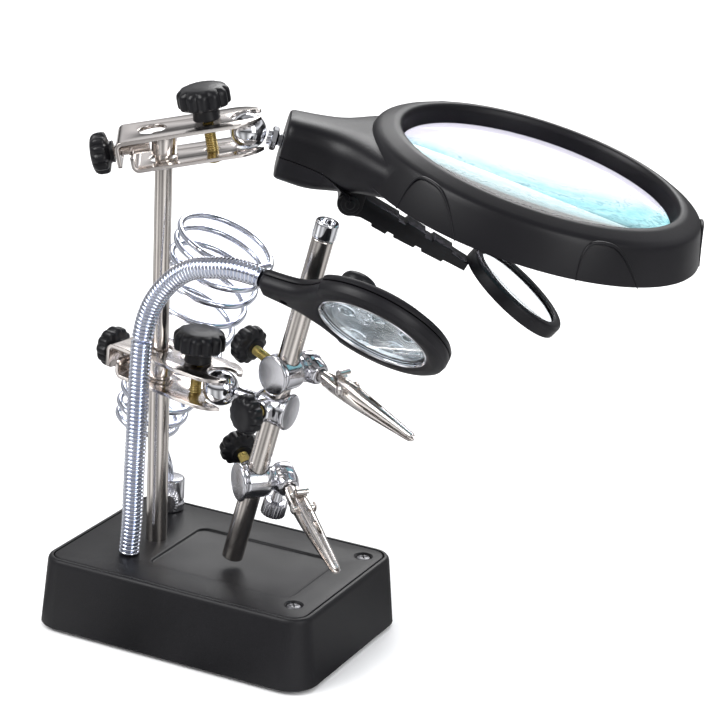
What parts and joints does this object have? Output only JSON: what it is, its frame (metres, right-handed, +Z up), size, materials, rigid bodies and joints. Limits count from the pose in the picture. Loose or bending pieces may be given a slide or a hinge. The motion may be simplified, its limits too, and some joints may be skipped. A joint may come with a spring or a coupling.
{
  "type": "helping hands clamp",
  "caption": "Workbench third hand: weighted base, pole with two clamp arms, large magnifier, small lens, goose-neck lamp, rod with alligator clips, coil iron holder.",
  "frame": {"origin": "centre of the underside of the rubber pad under the base, on the surface that it stands on", "axes": "+X right along the long side of the base, towards the magnifier; +Y to the back; +Z up along the pole"},
  "size_m": [0.1956, 0.1575, 0.1852],
  "materials": {
    "black_plastic": "fine satin moulded texture",
    "knob_plastic": "satin",
    "rubber": "matte",
    "nickel": "bright nickel plate, faint brushing",
    "chrome": "bright chrome",
    "casting": "plated die casting",
    "zinc": "yellow passivated zinc",
    "steel": "dark",
    "glass": "clear polished",
    "iron": "raw",
    "cell": "printed sleeve without text",
    "board": "silvered"
  },
  "bodies": {
    "base": {"base_shell": "black_plastic", "base_lid": "black_plastic", "lid_screw_front": "steel", "lid_screw_back": "steel", "bottom_cover": "black_plastic", "battery_door": "black_plastic", "rubber_pad": "rubber", "ballast_block": "iron", "battery_cell_1": "cell", "battery_cell_2": "cell", "battery_cell_3": "cell", "pole_lower": "nickel", "pole_upper": "nickel", "holder_boss": "casting", "gooseneck_lower": "chrome"},
    "upper_slider": {"upper_sleeve": "nickel"},
    "upper_arm": {"upper_top_plate": "nickel", "upper_bottom_plate": "nickel"},
    "upper_clamp_screw": {"upper_clamp_knob": "knob_plastic", "upper_clamp_bolt": "zinc"},
    "upper_thumb_screw": {"upper_pole_knob": "knob_plastic"},
    "upper_ball": {"upper_ball": "chrome"},
    "magnifier_stem": {"magnifier_stem": "chrome"},
    "magnifier": {"magnifier_frame": "black_plastic", "magnifier_cover": "black_plastic", "magnifier_lens": "glass", "aux_pivot_pin": "steel"},
    "small_lens": {"aux_arm": "black_plastic", "aux_ring": "black_plastic", "aux_lens": "glass"},
    "lower_slider": {"lower_sleeve": "nickel"},
    "lower_arm": {"lower_top_plate": "nickel", "lower_bottom_plate": "nickel"},
    "lower_clamp_screw": {"lower_clamp_knob": "knob_plastic", "lower_clamp_bolt": "zinc"},
    "lower_thumb_screw": {"lower_pole_knob": "knob_plastic"},
    "lower_ball": {"lower_ball": "chrome"},
    "middle_holder": {"middle_holder": "casting"},
    "middle_screw": {"middle_holder_knob": "knob_plastic"},
    "cross_rod": {"cross_rod": "nickel", "rod_cap": "nickel"},
    "upper_holder": {"upper_holder": "casting"},
    "upper_holder_screw": {"upper_holder_knob": "knob_plastic"},
    "upper_clip": {"upper_clip_jaw": "nickel", "upper_clip_rivet": "nickel"},
    "upper_clip_lever": {"upper_clip_lever": "nickel"},
    "lower_holder": {"lower_holder": "casting"},
    "lower_holder_screw": {"lower_holder_knob": "knob_plastic"},
    "lower_clip": {"lower_clip_jaw": "nickel", "lower_clip_rivet": "nickel"},
    "lower_clip_lever": {"lower_clip_lever": "nickel"},
    "lower_thumbscrew": {"lower_thumbscrew": "casting"},
    "gooseneck": {"gooseneck_upper": "chrome"},
    "lamp": {"lamp_face": "black_plastic", "lamp_back": "black_plastic", "lamp_window": "glass", "led_board": "board"},
    "lamp_button": {"lamp_button": "knob_plastic"},
    "iron_coil": {"iron_coil": "chrome"},
    "boss_thumbscrew": {"boss_thumbscrew": "casting"}
  },
  "joints": [
    {"name": "upper_clamp_slide", "type": "slide", "parent": "base", "child": "upper_slider", "axis": [0, 0, 1], "range_m": [-0.0015, 0.004]},
    {"name": "upper_arm_swing", "type": "hinge", "parent": "upper_slider", "child": "upper_arm", "pos_m": [-0.0254, 0.0004, 0.1642], "axis": [0, 0, 1], "range_deg": [-10, 25]},
    {"name": "upper_clamp_knob_turn", "type": "hinge", "parent": "upper_arm", "child": "upper_clamp_screw", "pos_m": [-0.01233, 0.0076, 0.16711], "axis": [-0.134, -0.152, 0.9792], "range_deg": [-90, 90]},
    {"name": "upper_pole_knob_turn", "type": "hinge", "parent": "upper_arm", "child": "upper_thumb_screw", "pos_m": [-0.0254, 0.0004, 0.1642], "axis": [0.8598, 0.4734, 0.1912], "range_deg": [-90, 90]},
    {"name": "upper_ball_swivel", "type": "hinge", "parent": "upper_arm", "child": "upper_ball", "pos_m": [-0.00167, 0.01347, 0.16948], "axis": [-0.134, -0.152, 0.9792], "range_deg": [-8, 8]},
    {"name": "magnifier_tilt", "type": "hinge", "parent": "upper_ball", "child": "magnifier_stem", "pos_m": [-0.00167, 0.01347, 0.16948], "axis": [-0.4455, 0.892, 0.0765], "range_deg": [-8, 8]},
    {"name": "magnifier_roll", "type": "hinge", "parent": "magnifier_stem", "child": "magnifier", "pos_m": [-0.00167, 0.01347, 0.16948], "axis": [0.8596, 0.4501, -0.2418], "range_deg": [-20, 20]},
    {"name": "small_lens_swing", "type": "hinge", "parent": "magnifier", "child": "small_lens", "pos_m": [0.02807, 0.03014, 0.14824], "axis": [-0.4455, 0.892, 0.0765], "range_deg": [-4, 40]},
    {"name": "lower_clamp_slide", "type": "slide", "parent": "base", "child": "lower_slider", "axis": [0, 0, 1], "range_m": [-0.0012, 0.001]},
    {"name": "lower_arm_swing", "type": "hinge", "parent": "lower_slider", "child": "lower_arm", "pos_m": [-0.0254, 0.0004, 0.0885], "axis": [0, 0, 1], "range_deg": [-1, 8]},
    {"name": "lower_clamp_knob_turn", "type": "hinge", "parent": "lower_arm", "child": "lower_clamp_screw", "pos_m": [-0.00966, -0.00223, 0.08738], "axis": [0.069, -0.0116, 0.9975], "range_deg": [-90, 90]},
    {"name": "lower_pole_knob_turn", "type": "hinge", "parent": "lower_arm", "child": "lower_thumb_screw", "pos_m": [-0.0254, 0.0004, 0.0885], "axis": [0.9839, -0.1646, -0.07], "range_deg": [-90, 90]},
    {"name": "lower_ball_swivel", "type": "hinge", "parent": "lower_arm", "child": "lower_ball", "pos_m": [0.00067, -0.00396, 0.08665], "axis": [0, 0, 1], "range_deg": [-1, 8]},
    {"name": "cross_rod_tilt", "type": "hinge", "parent": "lower_ball", "child": "middle_holder", "pos_m": [0.00067, -0.00396, 0.08665], "axis": [0, 1, 0], "range_deg": [-2, 2]},
    {"name": "middle_knob_turn", "type": "hinge", "parent": "middle_holder", "child": "middle_screw", "pos_m": [0.02131, -0.0044, 0.08416], "axis": [-0.361, -0.9326, 0], "range_deg": [-90, 90]},
    {"name": "cross_rod_turn", "type": "hinge", "parent": "middle_holder", "child": "cross_rod", "pos_m": [0.0072, -0.0044, 0.028], "axis": [0.2436, 0, 0.9699], "range_deg": [-4, 12]},
    {"name": "upper_holder_turn", "type": "hinge", "parent": "cross_rod", "child": "upper_holder", "pos_m": [0.0072, -0.0044, 0.028], "axis": [0.2436, 0, 0.9699], "range_deg": [-6, 12]},
    {"name": "upper_holder_knob_turn", "type": "hinge", "parent": "upper_holder", "child": "upper_holder_screw", "pos_m": [0.02447, -0.0044, 0.09676], "axis": [-0.9124, 0.317, 0.2588], "range_deg": [-90, 90]},
    {"name": "upper_clip_turn", "type": "hinge", "parent": "upper_holder", "child": "upper_clip", "pos_m": [0.02782, 0.00524, 0.09676], "axis": [0.924, -0.321, -0.2079], "range_deg": [-45, 45]},
    {"name": "upper_clip_open", "type": "hinge", "parent": "upper_clip", "child": "upper_clip_lever", "pos_m": [0.04569, -0.00097, 0.09438], "axis": [-0.3281, -0.9446, 0], "range_deg": [0, 14], "stiffness_Nm_per_rad": 0.05, "springref_deg": -11.46},
    {"name": "lower_holder_slide", "type": "slide", "parent": "cross_rod", "child": "lower_holder", "axis": [0.2436, 0, 0.9699], "range_m": [-0.003, 0.004]},
    {"name": "lower_holder_knob_turn", "type": "hinge", "parent": "lower_holder", "child": "lower_holder_screw", "pos_m": [0.01451, -0.0044, 0.0571], "axis": [-0.705, 0.5918, 0.3907], "range_deg": [-90, 90]},
    {"name": "lower_clip_turn", "type": "hinge", "parent": "lower_holder", "child": "lower_clip", "pos_m": [0.02107, 0.00341, 0.0571], "axis": [0.7363, -0.618, -0.2756], "range_deg": [-45, 45]},
    {"name": "lower_clip_open", "type": "hinge", "parent": "lower_clip", "child": "lower_clip_lever", "pos_m": [0.03539, -0.00861, 0.0534], "axis": [-0.6429, -0.7659, 0], "range_deg": [0, 14], "stiffness_Nm_per_rad": 0.05, "springref_deg": -11.46},
    {"name": "lower_thumbscrew_turn", "type": "hinge", "parent": "lower_holder", "child": "lower_thumbscrew", "pos_m": [0.02107, 0.00341, 0.0571], "axis": [-0.2436, 0, -0.9699], "range_deg": [-90, 90]},
    {"name": "gooseneck_bend", "type": "hinge", "parent": "base", "child": "gooseneck", "pos_m": [-0.0219, -0.017, 0.1025], "axis": [0, 1, 0], "range_deg": [-12, 2]},
    {"name": "lamp_tilt", "type": "hinge", "parent": "gooseneck", "child": "lamp", "pos_m": [0.0259, -0.0226, 0.133], "axis": [-0.1544, 0.7232, -0.6732], "range_deg": [-10, 10]},
    {"name": "lamp_button_press", "type": "slide", "parent": "lamp", "child": "lamp_button", "axis": [-0.119, -0.69, -0.714], "range_m": [0, 0.0012], "stiffness_N_per_m": 400, "springref_m": -0.0005},
    {"name": "iron_coil_swivel", "type": "hinge", "parent": "base", "child": "iron_coil", "pos_m": [-0.0352, 0.0257, 0.0255], "axis": [0, 0, 1], "range_deg": [-1, 12]},
    {"name": "boss_thumbscrew_turn", "type": "hinge", "parent": "base", "child": "boss_thumbscrew", "pos_m": [-0.0352, 0.0257, 0.0325], "axis": [0.4311, -0.9023, 0], "range_deg": [-90, 90]}
  ]
}
